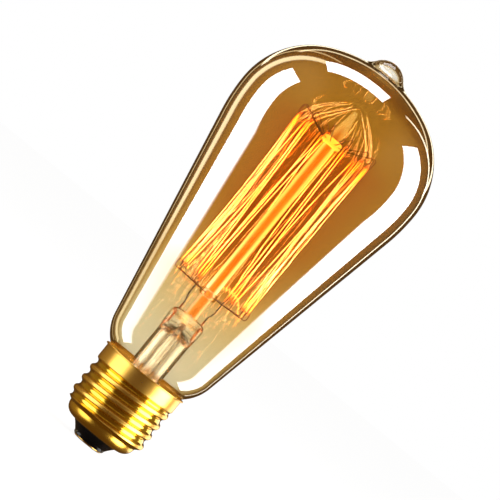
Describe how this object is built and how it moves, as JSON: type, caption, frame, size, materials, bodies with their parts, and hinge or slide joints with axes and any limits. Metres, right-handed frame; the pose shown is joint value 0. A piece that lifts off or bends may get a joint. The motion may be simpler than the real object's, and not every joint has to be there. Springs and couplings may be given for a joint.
{
  "type": "filament lamp",
  "caption": "Amber teardrop glass filament lamp with a squirrel cage filament on wire supports and a 27 mm brass screw cap.",
  "frame": {"origin": "middle of the centre contact's flat face, where the lamp meets the lamp holder's spring contact", "axes": "+Z along the lamp, from the cap to the glass tip; -Y is the side that the picture shows; +X to its right"},
  "size_m": [0.062, 0.062, 0.1371],
  "materials": {
    "amber_glass": "clear, gold-tinted",
    "clear_glass": "clear",
    "cap_brass": "satin collar, bright rolled thread",
    "black_insulator": "glossy black",
    "cement": "matt",
    "solder": "bright tin solder",
    "support_wire": "dark drawn wire",
    "lead_wire": "drawn nickel wire",
    "copper_wire": "copper",
    "glowing_filament": "glowing"
  },
  "bodies": {
    "root": {"screw_shell": "cap_brass", "cap_insulator": "black_insulator", "centre_contact": "cap_brass", "centre_solder": "solder", "side_solder": "solder", "capping_cement": "cement", "glass_envelope": "amber_glass", "stem_flare": "clear_glass", "exhaust_tube": "clear_glass", "support_rod": "clear_glass", "upper_button": "clear_glass", "lower_button": "clear_glass", "filament": "glowing_filament", "inner_lead_left": "lead_wire", "inner_lead_right": "lead_wire", "seal_wire_left": "copper_wire", "seal_wire_right": "copper_wire", "outer_lead_centre": "copper_wire", "outer_lead_side": "copper_wire", "upper_support_01": "support_wire", "upper_support_02": "support_wire", "upper_support_03": "support_wire", "upper_support_04": "support_wire", "upper_support_05": "support_wire", "upper_support_06": "support_wire", "upper_support_07": "support_wire", "upper_support_08": "support_wire", "upper_support_09": "support_wire", "upper_support_10": "support_wire", "upper_support_11": "support_wire", "upper_support_12": "support_wire", "lower_support_01": "support_wire", "lower_support_02": "support_wire", "lower_support_03": "support_wire", "lower_support_04": "support_wire", "lower_support_05": "support_wire", "lower_support_06": "support_wire", "lower_support_07": "support_wire", "lower_support_08": "support_wire", "lower_support_09": "support_wire", "lower_support_10": "support_wire", "lower_support_11": "support_wire"}
  },
  "joints": []
}
